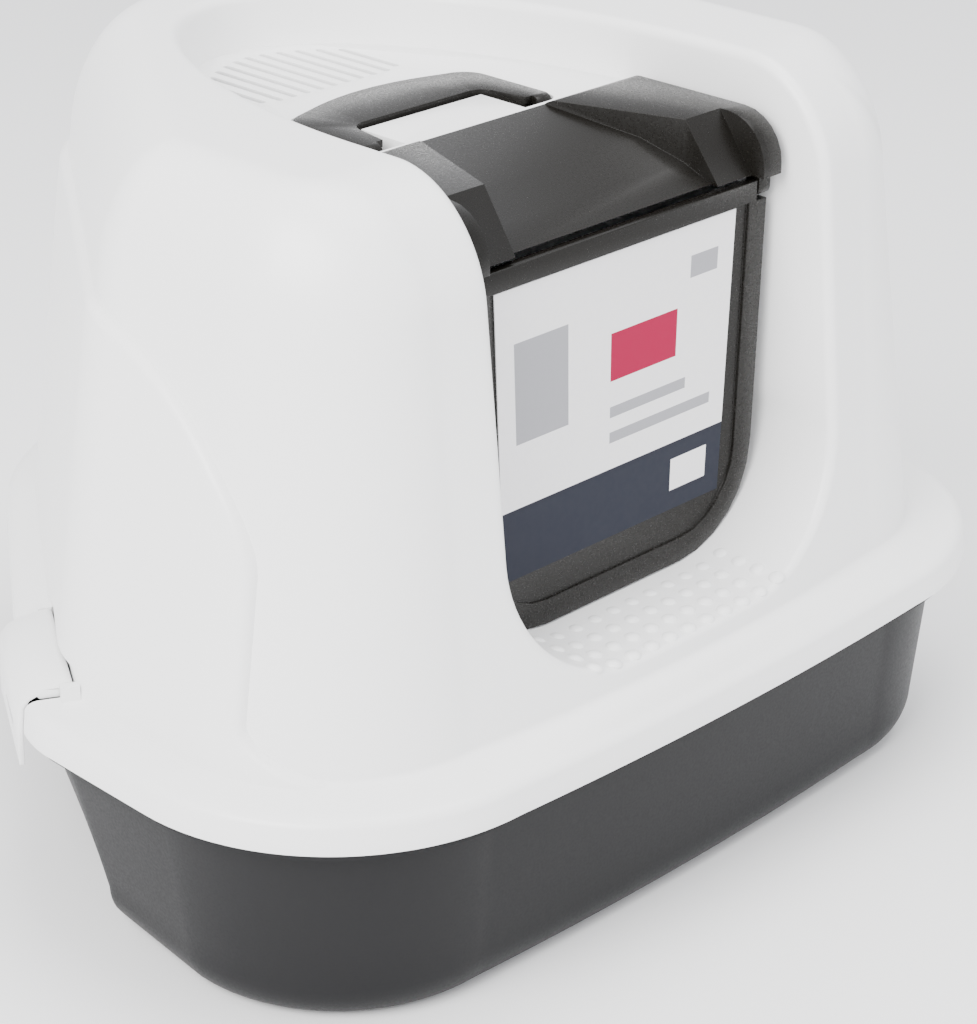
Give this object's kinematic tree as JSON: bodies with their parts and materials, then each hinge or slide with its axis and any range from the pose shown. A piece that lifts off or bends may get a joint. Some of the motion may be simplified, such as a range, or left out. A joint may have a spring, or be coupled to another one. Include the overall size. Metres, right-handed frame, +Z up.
{
  "type": "hooded litter box",
  "caption": "Open litter tray under a recessed hood with a swinging door flap, a flip-up lid, a folding carrying handle, a rear vent and side latches.",
  "frame": {"origin": "on the floor, under the middle of the rim's bounding box", "axes": "+Z up, -Y towards the door (front), +X to the right of someone who faces the door"},
  "size_m": [0.56, 0.511, 0.406],
  "materials": {
    "white_plastic": "satin moulded white plastic",
    "charcoal_plastic": "slightly glossy dark grey moulded plastic",
    "smoked_plastic": "dark smoked plastic, glossy",
    "label_paper": "plain printed card, smooth",
    "filter_foam": "matte black carbon foam",
    "pin_plastic": "matte dark plastic"
  },
  "bodies": {
    "base": {"base_tray": "charcoal_plastic"},
    "hood": {"hood_shell": "white_plastic", "lid_pin_left": "pin_plastic", "lid_pin_right": "pin_plastic", "handle_pin_left": "pin_plastic", "handle_pin_right": "pin_plastic", "latch_pin_left": "pin_plastic", "latch_pin_right": "pin_plastic", "filter_cover_pin_left": "pin_plastic", "filter_cover_pin_right": "pin_plastic"},
    "lid": {"front_lid": "smoked_plastic", "flap_pin_left": "pin_plastic", "flap_pin_right": "pin_plastic"},
    "flap": {"swing_flap": "smoked_plastic", "label_card": "label_paper"},
    "handle": {"carry_handle": "smoked_plastic"},
    "left_latch": {"latch_left": "white_plastic"},
    "right_latch": {"latch_right": "white_plastic"},
    "filter_door": {"filter_cover": "white_plastic", "filter_pad": "filter_foam"}
  },
  "joints": [
    {"name": "hood_lift", "type": "slide", "parent": "base", "child": "hood", "axis": [0, 0, 1], "range_m": [0, 0.15]},
    {"name": "lid_hinge", "type": "hinge", "parent": "hood", "child": "lid", "pos_m": [0, -0.0755, 0.372], "axis": [-1, 0, 0], "range_deg": [0, 90]},
    {"name": "flap_swing", "type": "hinge", "parent": "lid", "child": "flap", "pos_m": [0, -0.163, 0.342], "axis": [1, 0, 0], "range_deg": [-55, 55]},
    {"name": "handle_fold", "type": "hinge", "parent": "hood", "child": "handle", "pos_m": [0, -0.0505, 0.371], "axis": [1, 0, 0], "range_deg": [0, 90]},
    {"name": "latch_left_hinge", "type": "hinge", "parent": "hood", "child": "left_latch", "pos_m": [-0.23367, 0.00367, 0.1352], "axis": [0.4933, 0.8698, 0], "range_deg": [0, 60]},
    {"name": "latch_right_hinge", "type": "hinge", "parent": "hood", "child": "right_latch", "pos_m": [0.23367, 0.00367, 0.1352], "axis": [0.4933, -0.8698, 0], "range_deg": [0, 60]},
    {"name": "filter_cover_hinge", "type": "hinge", "parent": "hood", "child": "filter_door", "pos_m": [0, 0.0325, 0.361], "axis": [-1, 0, 0], "range_deg": [0, 75]}
  ]
}
